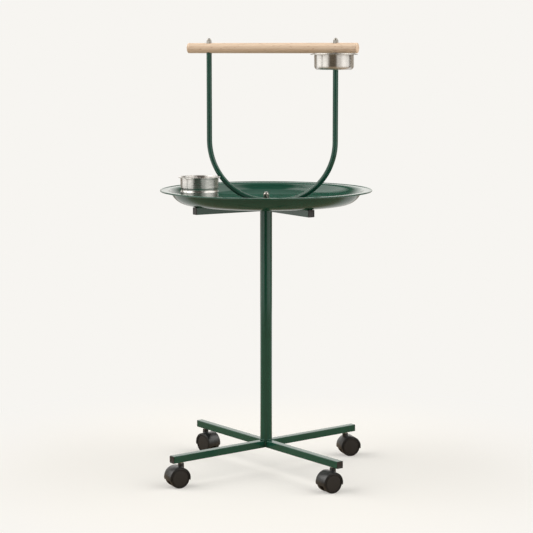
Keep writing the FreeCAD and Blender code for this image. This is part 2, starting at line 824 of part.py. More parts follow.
def build_hoop():
    """Tube bent to a U that stands on the tray floor; its right leg is shorter by the cup holder's tab."""
    hoop = new_body("hoop")
    left_top = hoop_top_z - hoop_axis_z
    right_top = right_leg_top_z - hoop_axis_z
    straight = s.hoop_flat / 2
    bend = leg_offset - straight
    path = new_sketch(hoop, "XZ_Plane")
    draw(path, [(-leg_offset, left_top), (-leg_offset, bend), (-straight, 0, bend),
                (straight, 0), (leg_offset, bend, bend), (leg_offset, right_top)], closed=False)
    section = new_sketch(hoop, "XY_Plane", left_top)
    draw_circle(section, hoop_radius, -leg_offset)
    draw_circle(section, hoop_radius - s.hoop_wall, -leg_offset)
    sweep = hoop.newObject("PartDesign::AdditivePipe", "hoop_sweep")
    sweep.Profile = section
    sweep.Spine = path
    hole = new_sketch(hoop, "XY_Plane")
    draw_circle(hole, bolt_radius + s.hole_clearance, -s.hoop_shift)
    cut_through(hoop, hole, symmetric=True)
    place(hoop, s.hoop_shift, 0, hoop_axis_z)


def build_leg_pieces():
    """Threaded plugs in the tops of the two legs, and the studs that stand in them."""
    plug_outside = hoop_radius - s.hoop_wall - s.plug_clearance
    bore = s.stud_diameter / 2 + s.thread_clearance
    stud_top_z = nut_seat_z + s.perch_nut_height - s.nut_cap_wall - s.thread_clearance
    plugs = new_body("hoop_end_plugs")
    studs = new_body("perch_studs")
    for x, top_z in ((left_leg_x, hoop_top_z), (right_leg_x, right_leg_top_z)):
        sleeve = new_sketch(plugs, "XY_Plane", top_z)
        draw_circle(sleeve, plug_outside, x)
        draw_circle(sleeve, bore, x)
        pad(plugs, sleeve, s.hoop_plug, reversed_way=True)
        rod = new_sketch(studs, "XY_Plane", top_z - s.stud_engagement)
        draw_circle(rod, s.stud_diameter / 2, x)
        pad(studs, rod, stud_top_z - top_z + s.stud_engagement)


def tab_point(along, across):
    """Point of the cup holder's tab in the perch's own plan, from the right leg."""
    ahead, aside = cosine(s.holder_turn), sine(s.holder_turn)
    return leg_offset + along * ahead - across * aside, along * aside + across * ahead


def build_perch():
    """Dowel perch with rounded ends, drilled for the studs and seated on the legs."""
    perch = new_body("perch")
    end = new_sketch(perch, "YZ_Plane")
    draw_circle(end, perch_radius)
    dowel = pad(perch, end, s.perch_length, symmetric=True)
    doc.recompute()
    rounding = perch.newObject("PartDesign::Fillet", "perch_ends")
    ends = ["Edge%d" % number for number, edge in enumerate(dowel.Shape.Edges, start=1)
            if edge.Curve.TypeId == "Part::GeomCircle"]
    rounding.Base = (dowel, ends)
    bind(rounding, "Radius", s.perch_end_round)
    perch.Tip = rounding
    holes = new_sketch(perch, "XY_Plane")
    under = new_sketch(perch, "XY_Plane", s.perch_seat - perch_radius)
    over = new_sketch(perch, "XY_Plane", perch_radius - s.perch_nut_seat)
    nut_seat = hexagon_radius(s.perch_nut_flats) + s.seat_margin
    for x in (-leg_offset, leg_offset):
        draw_circle(holes, s.stud_diameter / 2 + s.hole_clearance, x)
        draw_circle(under, hoop_radius + s.seat_margin, x)
        draw_circle(over, nut_seat, x)
    notch = new_sketch(perch, "XY_Plane", s.perch_seat - perch_radius)
    near = s.holder_tab_width / 2 + s.seat_margin
    draw(notch, [tab_point(-near, -near), tab_point(s.perch_diameter, -near),
                 tab_point(s.perch_diameter, near), tab_point(-near, near)])
    cut_through(perch, holes, symmetric=True)
    cut_through(perch, under)
    cut_through(perch, notch)
    cut_through(perch, over, reversed_way=True)
    place(perch, s.hoop_shift, 0, perch_axis_z)


def add_cap_nut(body, flats, hex_height, height, bore, x):
    """Domed nut with a blind thread, standing on height 0 at one place along X."""
    prism = new_sketch(body, "XY_Plane")
    draw_hexagon(prism, flats, x)
    pad(body, prism, hex_height)
    dome_radius = flats / 2 - s.seat_margin
    shoulder = height - dome_radius
    dome = new_sketch(body, "XZ_Plane")
    draw(dome, [(x, 0), (x + dome_radius, 0), (x + dome_radius, shoulder), (x, height, dome_radius)])
    foot = FreeCAD.Vector(x.value, 0, 0)
    axis = dome.addGeometry(Part.LineSegment(foot, foot + FreeCAD.Vector(0, 1, 0)), True)
    dimension(dome, "DistanceX", x, -1, 1, axis, 1)
    dimension(dome, "DistanceY", 0, -1, 1, axis, 1)
    dome.addConstraint(Sketcher.Constraint("Vertical", axis))
    crown = body.newObject("PartDesign::Revolution", body.Name + "_dome")
    crown.Profile = dome
    crown.ReferenceAxis = (dome, ["Axis0"])
    crown.Angle = 360
    hole = new_sketch(body, "XY_Plane")
    draw_circle(hole, bore, x)
    blind = body.newObject("PartDesign::Pocket", body.Name + "_thread")
    blind.Profile = hole
    blind.Reversed = True
    bind(blind, "Length", height - s.nut_cap_wall)


def build_nuts():
    """Cap nuts over the two studs of the perch and over the centre stud."""
    perch_nuts = new_body("perch_cap_nuts")
    stud_bore = s.stud_diameter / 2 + s.thread_clearance
    for x in (left_leg_x, right_leg_x):
        add_cap_nut(perch_nuts, s.perch_nut_flats, s.perch_nut_hex, s.perch_nut_height, stud_bore, x)
    place(perch_nuts, z=nut_seat_z)
    centre_nut = new_body("centre_cap_nut")
    middle = as_size(0)
    add_cap_nut(centre_nut, s.centre_nut_flats, s.centre_nut_hex, s.centre_nut_height, bolt_bore, middle)
    place(centre_nut, z=saddle_top_z)


def build_centre_stud():
    """Stud from the post's head plug up through the cross, the tray and the hoop, and its saddle washer."""
    stud = new_body("centre_stud")
    foot_z = post_top_z - s.bolt_engagement
    top_z = saddle_top_z + s.centre_nut_height - s.nut_cap_wall - s.thread_clearance
    rod = new_sketch(stud, "XY_Plane")
    draw_circle(rod, bolt_radius)
    pad(stud, rod, top_z - foot_z)
    place(stud, z=foot_z)
    saddle = new_body("hoop_saddle_washer")
    disc = new_sketch(saddle, "XY_Plane")
    draw_circle(disc, s.saddle_diameter / 2)
    draw_circle(disc, bolt_radius + s.hole_clearance)
    pad(saddle, disc, s.saddle_crown + s.saddle_skirt, reversed_way=True)
    trough = new_sketch(saddle, "YZ_Plane")
    draw_circle(trough, hoop_radius + s.saddle_clearance, 0, -s.saddle_crown - hoop_radius)
    cut_through(saddle, trough, symmetric=True)
    place(saddle, z=saddle_top_z)


build_hoop()
build_leg_pieces()
build_perch()
build_nuts()
build_centre_stud()


# Checks and files

def check_document():
    """Stops if a feature failed, a cut took nothing away or a sub-part has no sound shape."""
    for item in doc.Objects:
        if "Invalid" in item.State or "Error" in item.State:
            raise RuntimeError("failed: %s %s" % (item.Name, item.State))
        if item.TypeId in ("PartDesign::Pocket", "PartDesign::Groove"):
            if item.Shape.Volume >= item.BaseFeature.Shape.Volume:
                raise RuntimeError("cuts nothing: %s" % item.Name)
    for body in sub_parts:
        if body.Shape.isNull() or not body.Shape.isValid() or not body.Shape.Solids:
            raise RuntimeError("no sound solid: %s" % body.Label)


doc.recompute()
check_document()
os.makedirs("parts", exist_ok=True)
for body in sub_parts:
    body.Shape.exportStep(os.path.join("parts", body.Label + ".step"))
    print("%-32s %2d solid(s) %12.1f mm3" % (body.Label, len(body.Shape.Solids), body.Shape.Volume))
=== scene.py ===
"""Bird T-stand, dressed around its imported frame.

Shapes are drawn in millimetres in the frame of the part: +Z up, the perch along X, the floor at height 0.
"""

import functools
import json
import logging
import math
from collections.abc import Iterable, Sequence
from dataclasses import dataclass, field
from enum import Enum

import bmesh
import bpy
from mathutils import Matrix, Vector


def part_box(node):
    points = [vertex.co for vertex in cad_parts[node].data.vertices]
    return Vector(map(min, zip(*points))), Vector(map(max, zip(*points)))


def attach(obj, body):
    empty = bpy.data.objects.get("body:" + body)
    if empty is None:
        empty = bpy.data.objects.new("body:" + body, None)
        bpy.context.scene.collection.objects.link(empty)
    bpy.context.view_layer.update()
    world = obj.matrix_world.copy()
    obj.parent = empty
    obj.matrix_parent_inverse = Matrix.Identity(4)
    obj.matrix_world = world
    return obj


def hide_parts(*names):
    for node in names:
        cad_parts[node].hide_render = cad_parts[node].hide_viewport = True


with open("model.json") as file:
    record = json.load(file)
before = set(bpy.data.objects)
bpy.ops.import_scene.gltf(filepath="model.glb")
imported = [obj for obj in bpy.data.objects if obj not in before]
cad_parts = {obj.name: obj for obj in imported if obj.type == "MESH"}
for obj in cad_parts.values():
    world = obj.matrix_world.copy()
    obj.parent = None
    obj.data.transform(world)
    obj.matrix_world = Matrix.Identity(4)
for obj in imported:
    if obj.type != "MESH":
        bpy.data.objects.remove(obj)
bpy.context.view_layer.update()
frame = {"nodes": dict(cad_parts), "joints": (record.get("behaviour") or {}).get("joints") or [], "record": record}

log = logging.getLogger("bird_stand")

MM = 0.001
STAND = "stand"
# Points nearer to each other than this, in metres, are joined.
MERGE_DISTANCE = 2e-6
# Edges that bend more than this stay sharp.
SHARP_EDGE = math.radians(32)
Outline = list[tuple[float, float]]
Rings = Sequence[Sequence[Vector]]
Values = dict[str, object]


# Shapes

def arc(x: float, y: float, radius: float, start: float, end: float, steps: int) -> Outline:
    """Points along a part of a circle.

    Args:
        x, y: the middle of the circle.
        radius: its radius.
        start, end: the first and last angle, in degrees from the x direction.
        steps: how many chords the arc is cut into.

    Returns:
        steps + 1 points.
    """
    angles = [math.radians(start + (end - start) * i / steps) for i in range(steps + 1)]
    return [(x + radius * math.cos(a), y + radius * math.sin(a)) for a in angles]


def rounded_rectangle(width: float, height: float, corner: float, steps: int = 4) -> Outline:
    """Outline of a rectangle about the origin with rounded corners.

    Args:
        width, height: its full size along x and y.
        corner: radius of the corners.
        steps: chords in each corner.

    Returns:
        The outline, counter-clockwise.
    """
    x, y = width / 2 - corner, height / 2 - corner
    return (arc(x, y, corner, 0, 90, steps) + arc(-x, y, corner, 90, 180, steps)
            + arc(-x, -y, corner, 180, 270, steps) + arc(x, -y, corner, 270, 360, steps))


def spot(x: float = 0, y: float = 0, z: float = 0, turn: float = 0) -> Matrix:
    """A place in the stand, turned about the vertical by an angle in degrees."""
    return Matrix.Translation((x, y, z)) @ Matrix.Rotation(math.radians(turn), 4, "Z")


def span(node: str) -> tuple[Vector, Vector]:
    """Lowest and highest corner of a node of the frame, in millimetres."""
    low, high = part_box(node)
    return Vector(low) / MM, Vector(high) / MM


@dataclass
class Shell:
    """Closed surfaces that make up one piece, in millimetres."""

    points: list[Vector] = field(default_factory=list)
    faces: list[tuple[int, ...]] = field(default_factory=list)

    def skin(self, rings: Rings, closed: bool = False) -> None:
        """Stretches a surface over rings of equally many points.

        Args:
            rings: closed loops of points, in order.
            closed: True joins the last ring to the first; otherwise both end rings get a face.
        """
        first, size = len(self.points), len(rings[0])
        for ring in rings:
            self.points.extend(ring)
        for i in range(len(rings) if closed else len(rings) - 1):
            here, there = first + i * size, first + (i + 1) % len(rings) * size
            for j in range(size):
                k = (j + 1) % size
                self.faces.append((here + j, here + k, there + k, there + j))
        if not closed:
            last = first + (len(rings) - 1) * size
            self.faces.append(tuple(range(first + size - 1, first - 1, -1)))
            self.faces.append(tuple(range(last, last + size)))

    def lathe(self, section: Outline, place: Matrix, steps: int) -> None:
        """Turns a closed section about the place's own Z axis.

        Args:
            section: the outline as (radius, height).
            place: where the axis stands.
            steps: how many sections stand around the axis.
        """
        rings = []
        for i in range(steps):
            angle = 2 * math.pi * i / steps
            across = Vector((math.cos(angle), math.sin(angle), 0))
            rings.append([place @ (across * r + Vector((0, 0, z))) for r, z in section])
        self.skin(rings, closed=True)

    def loft(self, layers: Iterable[tuple[float, Outline]], place: Matrix) -> None:
        """Joins flat outlines that are stacked along the place's own Z axis.

        Args:
            layers: pairs of a height and the outline there.
            place: where the axis stands.
        """
        self.skin([[place @ Vector((x, y, z)) for x, y in outline] for z, outline in layers])

    def piece(self, name: str, origin: Vector | None = None) -> bpy.types.Object:
        """Makes the object, smooth but for its sharp edges.

        Args:
            name: the piece's name.
            origin: its own origin in millimetres, for patterns that turn about it.

        Returns:
            The object, linked to the scene.
        """
        origin = origin or Vector()
        mesh = bpy.data.meshes.new(name)
        mesh.from_pydata([(p - origin) * MM for p in self.points], [], self.faces)
        work = bmesh.new()
        work.from_mesh(mesh)
        bmesh.ops.remove_doubles(work, verts=work.verts, dist=MERGE_DISTANCE)
        bmesh.ops.recalc_face_normals(work, faces=work.faces)
        work.to_mesh(mesh)
        work.free()
        mesh.shade_smooth()
        mesh.set_sharp_from_angle(angle=SHARP_EDGE)
        piece = bpy.data.objects.new(name, mesh)
        piece.location = origin * MM
        bpy.context.scene.collection.objects.link(piece)
        return piece


@dataclass(frozen=True)
class SpunSheet:
    """A round dish spun from one sheet: floor, rounded corner, wall, flange and rolled edge."""

    rim: float
    gauge: float
    corner: float
    wall_angle: float
    wall: float
    bend: float
    flange: float
    slope: float
    bead: float
    hole: float = 0.0
    waist: float = 0.0
    waist_half: float = 5.5
    waist_depth: float = 1.8
    floor_steps: int = 12
    corner_steps: int = 14
    waist_steps: int = 12
    bend_steps: int = 8
    bead_steps: int = 20

    def section(self) -> Outline:
        """Half section with its underside at height 0.

        Returns:
            The closed outline as (radius, height).
        """
        lean, slope = math.radians(self.wall_angle), math.radians(self.slope)
        curl = math.sqrt(self.bead ** 2 - self.gauge ** 2 / 4)
        side = self.corner * math.sin(lean) + self.wall * math.cos(lean)
        side += self.bend * (math.sin(lean) - math.sin(slope))
        lip = (self.flange + curl) * math.cos(slope) - self.gauge / 2 * math.sin(slope) + self.bead
        floor = self.rim - side - lip
        rise = (self.wall * math.cos(lean), self.wall * math.sin(lean))
        bend_x = floor + (self.corner + self.bend) * math.sin(lean) + rise[0]
        bend_z = self.corner - (self.corner + self.bend) * math.cos(lean) + rise[1]
        out, up = math.cos(slope), math.sin(slope)

        def surface(depth: float) -> Outline:
            """One face of the sheet, from the middle to the rolled edge.

            Args:
                depth: how far inside the underside the face lies.

            Returns:
                Its points as (radius, height).
            """
            corner = arc(floor, self.corner, self.corner - depth, -90, self.wall_angle - 90,
                         self.corner_steps)
            bend = arc(bend_x, bend_z, self.bend + depth, self.wall_angle + 90, self.slope + 90,
                       self.bend_steps)
            end = (bend[-1][0] + self.flange * out, bend[-1][1] + self.flange * up)
            steps = self.floor_steps
            flat = [(self.hole + (floor - self.hole) * i / steps, depth) for i in range(steps)]
            roll = []
            if self.waist:
                for x, z in arc(0, self.waist, 1.0, -90, 90, self.waist_steps):
                    height = self.waist + (z - self.waist) * self.waist_half
                    roll.append((corner[-1][0] - self.waist_depth * x * x, height))
            return flat + corner + roll + bend + [end]

        middle = self.bend + self.gauge / 2
        bead_x = bend_x - middle * up + (self.flange + curl) * out
        bead_z = bend_z + middle * out + (self.flange + curl) * up
        open_half = math.degrees(math.atan2(self.gauge / 2, curl))
        first, last = self.slope - 180 + open_half, self.slope + 180 - open_half
        roll = arc(bead_x, bead_z, self.bead, first, last, self.bead_steps)
        return surface(0) + roll[1:-1] + surface(self.gauge)[::-1]


# Finishes

def linear(colour: str) -> tuple[float, float, float, float]:
    """Turns an sRGB colour to linear light.

    Args:
        colour: the colour as hex digits after a hash.

    Returns:
        Red, green, blue and a full alpha.
    """
    parts = [int(colour[i:i + 2], 16) / 255 for i in (1, 3, 5)]
    bent = [c / 12.92 if c <= 0.04045 else ((c + 0.055) / 1.055) ** 2.4 for c in parts]
    return bent[0], bent[1], bent[2], 1.0


# A wave texture of scale 1 repeats after this length.
WAVE_PERIOD = 2 * math.pi / 20
# Nearly all of a noise lies between these.
NOISE_LOW, NOISE_HIGH = 0.3, 0.7
# Heights of bumps, in metres: a coat's, a fibre's or a grain's, and a metal's fine lines.
BUMP_HEIGHT, LINE_HEIGHT = 0.0001, 0.00005


def per_metre(size: float) -> float:
    """Scale of a texture whose pattern repeats about every so many millimetres."""
    return 1000.0 / size


def add_node(tree: bpy.types.NodeTree, kind: str, inputs: dict[str | int, object],
             **settings: object) -> bpy.types.Node:
    """Adds a node with its settings, values and links.

    Args:
        tree: the node tree.
        kind: the node's type.
        inputs: values or linked sockets, by the input's name or number.
        settings: the node's own properties.

    Returns:
        The new node.
    """
    node = tree.nodes.new(kind)
    for name, value in settings.items():
        setattr(node, name, value)
    for key, value in inputs.items():
        if isinstance(value, bpy.types.NodeSocket):
            tree.links.new(value, node.inputs[key])
        else:
            node.inputs[key].default_value = value
    return node


class Finish:
    """What a surface is made of; each finish draws its own nodes."""

    name: str

    def draw(self, tree: bpy.types.NodeTree, at: bpy.types.NodeSocket) -> Values:
        """Adds the finish's own nodes.

        Args:
            tree: the material's node tree.
            at: the place on the piece, in metres from its origin.

        Returns:
            Values and sockets for the surface shader.
        """
        raise NotImplementedError

    @functools.cached_property
    def material(self) -> bpy.types.Material:
        """Makes the material once.

        Returns:
            The material, with one surface shader.
        """
        material = bpy.data.materials.new(self.name)
        material.use_nodes = True
        tree = material.node_tree
        tree.nodes.clear()
        place = add_node(tree, "ShaderNodeTexCoord", {})
        shader = add_node(tree, "ShaderNodeBsdfPrincipled", self.draw(tree, place.outputs["Object"]))
        add_node(tree, "ShaderNodeOutputMaterial", {"Surface": shader.outputs[0]})
        return material


@dataclass(frozen=True)
class PowderCoat(Finish):
    """Polyester powder coat, baked on steel: semi-gloss, with a fine orange peel and a slight cloudiness."""

    # The melted powder flows to a smooth skin, so the eye sees soft-edged reflections over an even, deep
    # green. Its orange peel is about 1 mm in life, too fine to show here, and is drawn coarser.
    name: str = "baked_powder_coat"
    deep: str = "#1a4a3a"
    light: str = "#205646"
    cloud: float = 60.0
    peel: float = 2.4
    peel_strength: float = 0.08
    glossy: float = 0.1
    dull: float = 0.15

    def draw(self, tree: bpy.types.NodeTree, at: bpy.types.NodeSocket) -> Values:
        """Cloudy green over an orange peel bump.

        Args:
            tree: the material's node tree.
            at: the place on the piece, in metres from its origin.

        Returns:
            Values and sockets for the surface shader.
        """
        cloud = add_node(tree, "ShaderNodeTexNoise", {
            "Vector": at, "Scale": per_metre(self.cloud), "Detail": 4.0, "Roughness": 0.6})
        colour = add_node(tree, "ShaderNodeMix", {
            0: cloud.outputs["Fac"], 6: linear(self.deep), 7: linear(self.light)}, data_type="RGBA")
        gloss = add_node(tree, "ShaderNodeMapRange", {
            "Value": cloud.outputs["Fac"], "From Min": NOISE_LOW, "From Max": NOISE_HIGH,
            "To Min": self.glossy, "To Max": self.dull})
        peel = add_node(tree, "ShaderNodeTexNoise", {
            "Vector": at, "Scale": per_metre(self.peel), "Detail": 1.5, "Roughness": 0.4})
        bump = add_node(tree, "ShaderNodeBump", {
            "Height": peel.outputs["Fac"], "Strength": self.peel_strength, "Distance": BUMP_HEIGHT})
        return {"Base Color": colour.outputs[2], "Roughness": gloss.outputs[0], "IOR": 1.5,
                "Normal": bump.outputs[0]}


@dataclass(frozen=True)
class TurnedBeech(Finish):
    """Steamed beech, turned to a dowel and sanded: pink-brown bands, with short dark ray flecks."""

    # Sanding leaves bare fibres, so the eye sees a dull sheen and faint streaks along the dowel. Growth rings
    # are 1 to 4 mm wide, fibres 0.1 mm and ray flecks 1 mm in life; all three are too fine to show and drawn
    # coarser. The heart is the middle of the trunk, below and beside the dowel, and the stretches draw each
    # pattern out along it.
    name: str = "sanded_beech"
    pale: str = "#f2dac1"
    band: str = "#dfb997"
    fleck: str = "#b58660"
    ring: float = 9.0
    fibre: float = 0.9
    fleck_size: float = 3.0
    sway: float = 26.0
    heart: tuple[float, float, float] = (0.0, -21.0, 1176.0)
    band_stretch: float = 0.06
    fibre_stretch: float = 0.035
    fleck_stretch: float = 0.22
    fibre_strength: float = 0.04
    sheen: float = 0.52

    def draw(self, tree: bpy.types.NodeTree, at: bpy.types.NodeSocket) -> Values:
        """Growth bands about an axis beside the dowel, fibres and flecks, all drawn out along X.

        Args:
            tree: the material's node tree.
            at: the place on the piece, in metres from its origin.

        Returns:
            Values and sockets for the surface shader.
        """
        heart = add_node(tree, "ShaderNodeMapping", {
            "Vector": at, "Location": [-along * MM for along in self.heart],
            "Scale": (self.band_stretch, 1.0, 1.0)})
        sway = add_node(tree, "ShaderNodeTexNoise", {
            "Vector": heart.outputs[0], "Scale": per_metre(self.sway), "Detail": 3.0})
        bands = add_node(tree, "ShaderNodeTexWave", {
            "Vector": heart.outputs[0], "Scale": per_metre(self.ring) * WAVE_PERIOD, "Distortion": 3.2,
            "Detail": 2.0, "Detail Scale": 1.6, "Phase Offset": sway.outputs["Fac"]},
            wave_type="RINGS", rings_direction="X", wave_profile="SAW")
        along = add_node(tree, "ShaderNodeMapping", {"Vector": at, "Scale": (self.fibre_stretch, 1.0, 1.0)})
        fibre = add_node(tree, "ShaderNodeTexNoise", {
            "Vector": along.outputs[0], "Scale": per_metre(self.fibre), "Detail": 3.0, "Roughness": 0.65})
        short = add_node(tree, "ShaderNodeMapping", {"Vector": at, "Scale": (self.fleck_stretch, 1.0, 1.0)})
        flecks = add_node(tree, "ShaderNodeTexNoise", {
            "Vector": short.outputs[0], "Scale": per_metre(self.fleck_size), "Detail": 1.0})
        mark = add_node(tree, "ShaderNodeMapRange", {
            "Value": flecks.outputs["Fac"], "From Min": 0.64, "From Max": 0.8, "To Max": 0.6})
        grain = add_node(tree, "ShaderNodeMath", {
            0: bands.outputs["Fac"], 1: fibre.outputs["Fac"]}, operation="MULTIPLY")
        board = add_node(tree, "ShaderNodeMix", {
            0: grain.outputs[0], 6: linear(self.pale), 7: linear(self.band)}, data_type="RGBA")
        wood = add_node(tree, "ShaderNodeMix", {
            0: mark.outputs[0], 6: board.outputs[2], 7: linear(self.fleck)}, data_type="RGBA")
        bump = add_node(tree, "ShaderNodeBump", {
            "Height": fibre.outputs["Fac"], "Strength": self.fibre_strength, "Distance": BUMP_HEIGHT})
        return {"Base Color": wood.outputs[2], "Roughness": self.sheen, "IOR": 1.5,
                "Normal": bump.outputs[0]}


@dataclass(frozen=True)
class MouldedPlastic(Finish):
    """Black nylon or polyethylene with the fine grain of its mould, greyer where it is scuffed."""

    # The mould's eroded grain breaks up reflections, so the eye sees broad grey sheens on black. The grain is
    # about 0.15 mm in life, too fine to show here, and is drawn coarser.
    name: str
    deep: str
    worn: str
    roughness: float
    grain: float = 0.7
    grain_strength: float = 0.35
    scuff: float = 14.0
    smoother: float = 0.05
    rougher: float = 0.07

    def draw(self, tree: bpy.types.NodeTree, at: bpy.types.NodeSocket) -> Values:
        """Scuffed black over a grained bump.

        Args:
            tree: the material's node tree.
            at: the place on the piece, in metres from its origin.

        Returns:
            Values and sockets for the surface shader.
        """
        scuff = add_node(tree, "ShaderNodeTexNoise", {
            "Vector": at, "Scale": per_metre(self.scuff), "Detail": 6.0, "Roughness": 0.7})
        colour = add_node(tree, "ShaderNodeMix", {
            0: scuff.outputs["Fac"], 6: linear(self.deep), 7: linear(self.worn)}, data_type="RGBA")
        gloss = add_node(tree, "ShaderNodeMapRange", {
            "Value": scuff.outputs["Fac"], "From Min": NOISE_LOW, "From Max": NOISE_HIGH,
            "To Min": self.roughness - self.smoother, "To Max": self.roughness + self.rougher})
        grain = add_node(tree, "ShaderNodeTexNoise", {
            "Vector": at, "Scale": per_metre(self.grain), "Detail": 2.0})
        bump = add_node(tree, "ShaderNodeBump", {
            "Height": grain.outputs["Fac"], "Strength": self.grain_strength, "Distance": BUMP_HEIGHT})
        return {"Base Color": colour.outputs[2], "Roughness": gloss.outputs[0], "IOR": 1.52,
                "Normal": bump.outputs[0]}


class Lay(Enum):
    """How fine lines run over a metal: how the place is stretched before a noise draws them."""

    SPUN = (0.02, 0.02, 1.0)
    BRUSHED = (0.03, 1.0, 1.0)
    PLATED = (1.0, 1.0, 1.0)


@dataclass(frozen=True)
class BrightMetal(Finish):
    """Stainless steel or plated steel: its colour, its polish and the lay of its fine lines."""

    # Lines left by spinning or brushing draw reflections out across them, and plating stays mirror-like with
    # a slight waviness. The lines are about 0.1 mm apart in life, too fine to show here, and drawn coarser.
    # Spun metal stretches its reflections by the share given, a quarter turn from the way its lines run.
    name: str
    dull: str
    bright: str
    roughness: float
    lay: Lay
    line: float
    depth: float
    stretch: float = 0.0
    stretch_turn: float = 0.25
    smoothest: float = 0.8
    roughest: float = 1.3

    def draw(self, tree: bpy.types.NodeTree, at: bpy.types.NodeSocket) -> Values:
        """Fine lines in the colour, the polish and the bump.

        Args:
            tree: the material's node tree.
            at: the place on the piece, in metres from its origin.

        Returns:
            Values and sockets for the surface shader.
        """
        stretched = add_node(tree, "ShaderNodeMapping", {"Vector": at, "Scale": self.lay.value})
        lines = add_node(tree, "ShaderNodeTexNoise", {
            "Vector": stretched.outputs[0], "Scale": per_metre(self.line), "Detail": 3.0, "Roughness": 0.6})
        colour = add_node(tree, "ShaderNodeMix", {
            0: lines.outputs["Fac"], 6: linear(self.dull), 7: linear(self.bright)}, data_type="RGBA")
        gloss = add_node(tree, "ShaderNodeMapRange", {
            "Value": lines.outputs["Fac"], "From Min": NOISE_LOW, "From Max": NOISE_HIGH,
            "To Min": self.roughness * self.smoothest, "To Max": self.roughness * self.roughest})
        bump = add_node(tree, "ShaderNodeBump", {
            "Height": lines.outputs["Fac"], "Strength": self.depth, "Distance": LINE_HEIGHT})
        around = add_node(tree, "ShaderNodeTangent", {}, direction_type="RADIAL", axis="Z")
        return {"Base Color": colour.outputs[2], "Metallic": 1.0, "Roughness": gloss.outputs[0],
                "Normal": bump.outputs[0], "Tangent": around.outputs[0], "Anisotropic": self.stretch,
                "Anisotropic Rotation": self.stretch_turn}


FINISHES: dict[str, Finish] = {
    "green_powder_coat": PowderCoat(),
    "beech": TurnedBeech(),
    "end_cap_plastic": MouldedPlastic("moulded_polyethylene_cap", "#1e1d1d", "#302f2f", 0.42),
    "caster_hood_nylon": MouldedPlastic("moulded_nylon_hood", "#222324", "#2f3031", 0.3),
    "caster_wheel_nylon": MouldedPlastic("moulded_nylon_wheel", "#1c1b1b", "#272626", 0.42),
    "polished_stainless": BrightMetal("spun_stainless", "#d0cdc9", "#e3e1de", 0.28, Lay.SPUN, 0.8, 0.08,
                                      stretch=0.95),
    "brushed_stainless": BrightMetal("brushed_stainless", "#bdb9b3", "#d6d3ce", 0.28, Lay.BRUSHED, 0.8, 0.3),
    "chrome_plate": BrightMetal("bright_nickel_plate", "#948f88", "#b8b4ad", 0.1, Lay.PLATED, 6.0, 0.05),
    "zinc_steel": BrightMetal("bright_zinc_plate", "#a9aaa8", "#c4c5c2", 0.3, Lay.PLATED, 2.0, 0.2),
}


@dataclass
class Assembly:
    """A group of pieces that are built and dressed together."""

    def dress(self, piece: bpy.types.Object, slot: str, body: str, *nodes: str) -> bpy.types.Object:
        """Gives a piece its finish and its place in the frame.

        Args:
            piece: the new piece.
            slot: the finish's name in the record.
            body: the body that it rides on.
            nodes: the nodes that it stands for.

        Returns:
            The piece.
        """
        piece.data.materials.append(FINISHES[slot].material)
        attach(piece, body)
        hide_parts(*nodes)
        log.info("%s: %d faces, %s, rides on %s", piece.name, len(piece.data.polygons), slot, body)
        return piece

    def build(self) -> None:
        """Builds and dresses the group's pieces."""
        raise NotImplementedError


# Sub-assemblies

@dataclass
class Cross(Assembly):
    """Cross of square tube: the rails stay as they are, and get end caps and weld beads."""

    prefix: str
    reach: float
    turn: float
    width: float = 20.0
    corner: float = 1.5
    flange: float = 2.0
    groove: float = 0.6
    groove_width: float = 0.4
    back_edge: float = 0.3
    front_edge: float = 0.8
    border: float = 2.2
    dish: float = 0.25
    dish_slope: float = 0.6
    dish_edge: float = 7.0
    least_corner: float = 0.4
    weld: float = 3.0
    weld_root: float = 0.5
    weld_hollow: float = 0.2
    weld_ripple: float = 0.12
    weld_taper: float = 0.45
    weld_steps: int = 12

    def middle(self) -> float:
        """Height of the middle of the rails."""
        low, high = span(self.prefix + "_long_rail")
        return (low.z + high.z) / 2

    def build(self) -> None:
        """Caps for the four ends and beads in the four inner corners."""
        self.dress(self.end_caps(), "end_cap_plastic", STAND, self.prefix + "_end_caps")
        self.dress(self.weld_beads(), "green_powder_coat", STAND)

    def end_caps(self) -> bpy.types.Object:
        """Four caps with a shadow groove behind them, a rounded edge and a shallow dished face.

        Returns:
            The caps.
        """
        back, front, floor = self.back_edge, self.front_edge, self.flange - self.dish
        inset = [(0.0, self.groove), (self.groove_width, self.groove)]
        inset += arc(self.groove_width + back, back, back, 180, 270, 3)
        inset += arc(self.flange - front, front, front, 270, 360, 5)
        inset += [(self.flange, self.border), (floor, self.border + self.dish_slope), (floor, self.dish_edge)]
        shell = Shell()
        for quarter in range(4):
            place = spot(z=self.middle(), turn=self.turn + 90 * quarter)
            place = place @ Matrix.Translation((self.reach - self.flange, 0, 0))
            layers = []
            for out, less in inset:
                width, corner = self.width - 2 * less, max(self.corner - less, self.least_corner)
                layers.append((out, rounded_rectangle(width, width, corner)))
            shell.loft(layers, place @ Matrix.Rotation(math.pi / 2, 4, "Y"))
        return shell.piece(self.prefix + "_caps")

    def weld_beads(self) -> bpy.types.Object:
        """Hollow-faced beads that run up the corners where the half rails meet the long one.

        Returns:
            The beads.
        """
        half = self.width / 2
        low, high = -half + self.corner / 2, half - self.corner / 2
        root, last = -self.weld_root, self.weld_steps
        hollow = self.weld - self.weld_hollow
        outline = [(root, root), (self.weld, root)]
        outline += arc(self.weld, self.weld, hollow, 270, 180, 6) + [(root, self.weld)]
        shell = Shell()
        for quarter in range(4):
            place = spot(z=self.middle(), turn=self.turn + 90 * quarter) @ Matrix.Translation((half, half, 0))
            layers = []
            for i in range(last + 1):
                ripple = 1 - self.weld_ripple * (i % 2) - (self.weld_taper if i in (0, last) else 0)
                height = low + (high - low) * i / last
                layers.append((height, [(x * ripple, y * ripple) for x, y in outline]))
            shell.loft(layers, place)
        return shell.piece(self.prefix + "_weld_beads")


